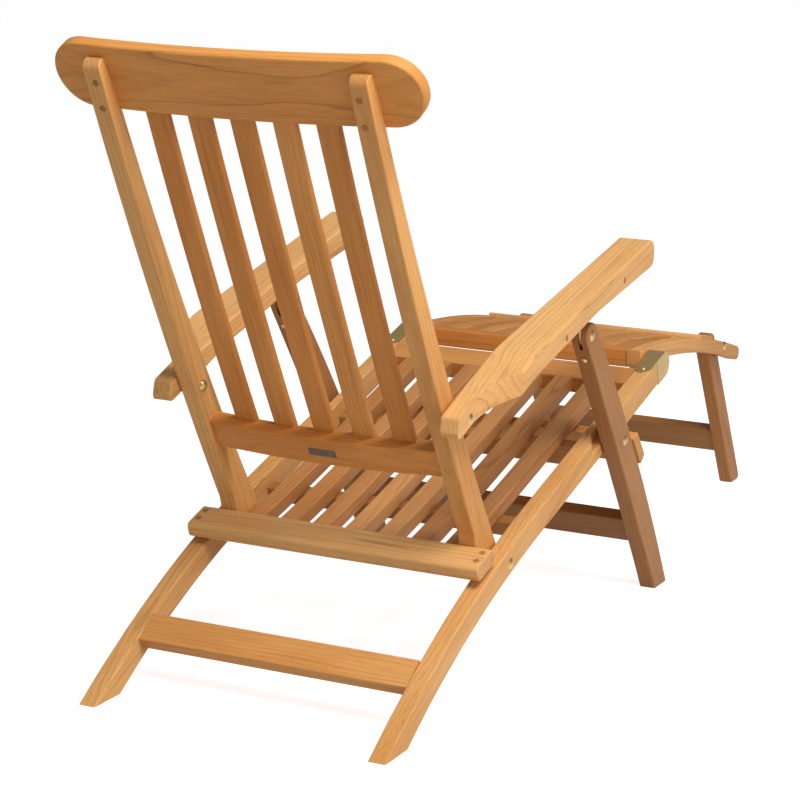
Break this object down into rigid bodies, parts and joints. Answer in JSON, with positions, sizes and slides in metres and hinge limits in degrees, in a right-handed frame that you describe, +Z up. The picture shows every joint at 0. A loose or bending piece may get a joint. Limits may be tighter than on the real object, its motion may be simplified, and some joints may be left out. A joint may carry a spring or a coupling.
{
  "type": "steamer deck chair",
  "caption": "Folding slatted wooden lounger with curved back, arms, brass hinges and a hinged footrest on its own legs.",
  "frame": {"origin": "middle of the bounding box at floor level", "axes": "+Z up, +Y towards the back of the chair, +X to the sitter's left"},
  "size_m": [0.6006, 1.7184, 0.9918],
  "materials": {
    "teak": "oiled satin",
    "brass": "satin, slightly tarnished",
    "dark_plate": "matt"
  },
  "bodies": {
    "seat_frame": {"side_rail_left": "teak", "side_rail_right": "teak", "seat_front_rail": "teak", "seat_cross_rail_front": "teak", "seat_cross_rail_rear": "teak", "seat_slat_1": "teak", "seat_slat_2": "teak", "seat_slat_3": "teak", "seat_slat_4": "teak", "seat_slat_5": "teak", "seat_slat_6": "teak", "seat_slat_7": "teak", "rear_cross_bar": "teak", "rear_bar_plugs": "teak", "rear_stretcher": "teak", "hinge_cap_left": "brass", "hinge_cap_right": "brass", "hinge_screws": "brass", "back_pivot_bolts": "brass", "leg_pivot_bolts": "brass"},
    "backrest": {"back_stile_left": "teak", "back_stile_right": "teak", "headboard": "teak", "back_slat_1": "teak", "back_slat_2": "teak", "back_slat_3": "teak", "back_slat_4": "teak", "back_slat_5": "teak", "back_lower_rail": "teak", "blank_plate": "dark_plate", "back_stile_plugs": "teak", "arm_pivot_bolts": "brass"},
    "left_arm": {"arm_left": "teak", "arm_tongue_left": "brass", "arm_plugs_left": "teak"},
    "right_arm": {"arm_right": "teak", "arm_tongue_right": "brass", "arm_plugs_right": "teak"},
    "front_leg_frame": {"front_leg_left": "teak", "front_leg_right": "teak", "front_leg_stretcher": "teak", "stop_bar": "teak", "leg_screws": "brass", "leg_top_bolts": "brass"},
    "footrest": {"footrest_rail_left": "teak", "footrest_rail_right": "teak", "footrest_rear_rail": "teak", "footrest_slat_1": "teak", "footrest_slat_2": "teak", "footrest_slat_3": "teak", "footrest_slat_4": "teak", "footrest_slat_5": "teak", "footrest_slat_6": "teak", "footrest_end_slat": "teak", "footrest_hinge_pins": "brass", "footrest_leg_bolts": "brass"},
    "footrest_leg_frame": {"footrest_leg_left": "teak", "footrest_leg_right": "teak", "footrest_leg_stretcher": "teak"}
  },
  "joints": [
    {"name": "back_fold", "type": "hinge", "parent": "seat_frame", "child": "backrest", "pos_m": [0, 0.41356, 0.186], "axis": [1, 0, 0], "range_deg": [0, 65]},
    {"name": "leg_fold", "type": "hinge", "parent": "seat_frame", "child": "front_leg_frame", "pos_m": [0, 0.01956, 0.303], "axis": [1, 0, 0], "range_deg": [0, 76.8]},
    {"name": "arm_pivot_left", "type": "hinge", "parent": "backrest", "child": "left_arm", "pos_m": [0, 0.57756, 0.447], "axis": [-1, 0, 0], "range_deg": [0, 66.6]},
    {"name": "arm_pivot_right", "type": "hinge", "parent": "backrest", "child": "right_arm", "pos_m": [0, 0.57756, 0.447], "axis": [-1, 0, 0], "range_deg": [0, 66.6]},
    {"name": "footrest_lift", "type": "hinge", "parent": "seat_frame", "child": "footrest", "pos_m": [0, -0.23877, 0.38167], "axis": [-1, 0, 0], "range_deg": [0, 90]},
    {"name": "footrest_legs_fold", "type": "hinge", "parent": "footrest", "child": "footrest_leg_frame", "pos_m": [0, -0.65444, 0.34], "axis": [1, 0, 0], "range_deg": [0, 96]}
  ],
  "couplings": [
    {"joint": "leg_fold", "follows": "back_fold", "ratio": 1.1809},
    {"joint": "arm_pivot_left", "follows": "back_fold", "ratio": 1.0234},
    {"joint": "arm_pivot_right", "follows": "back_fold", "ratio": 1.0234}
  ]
}
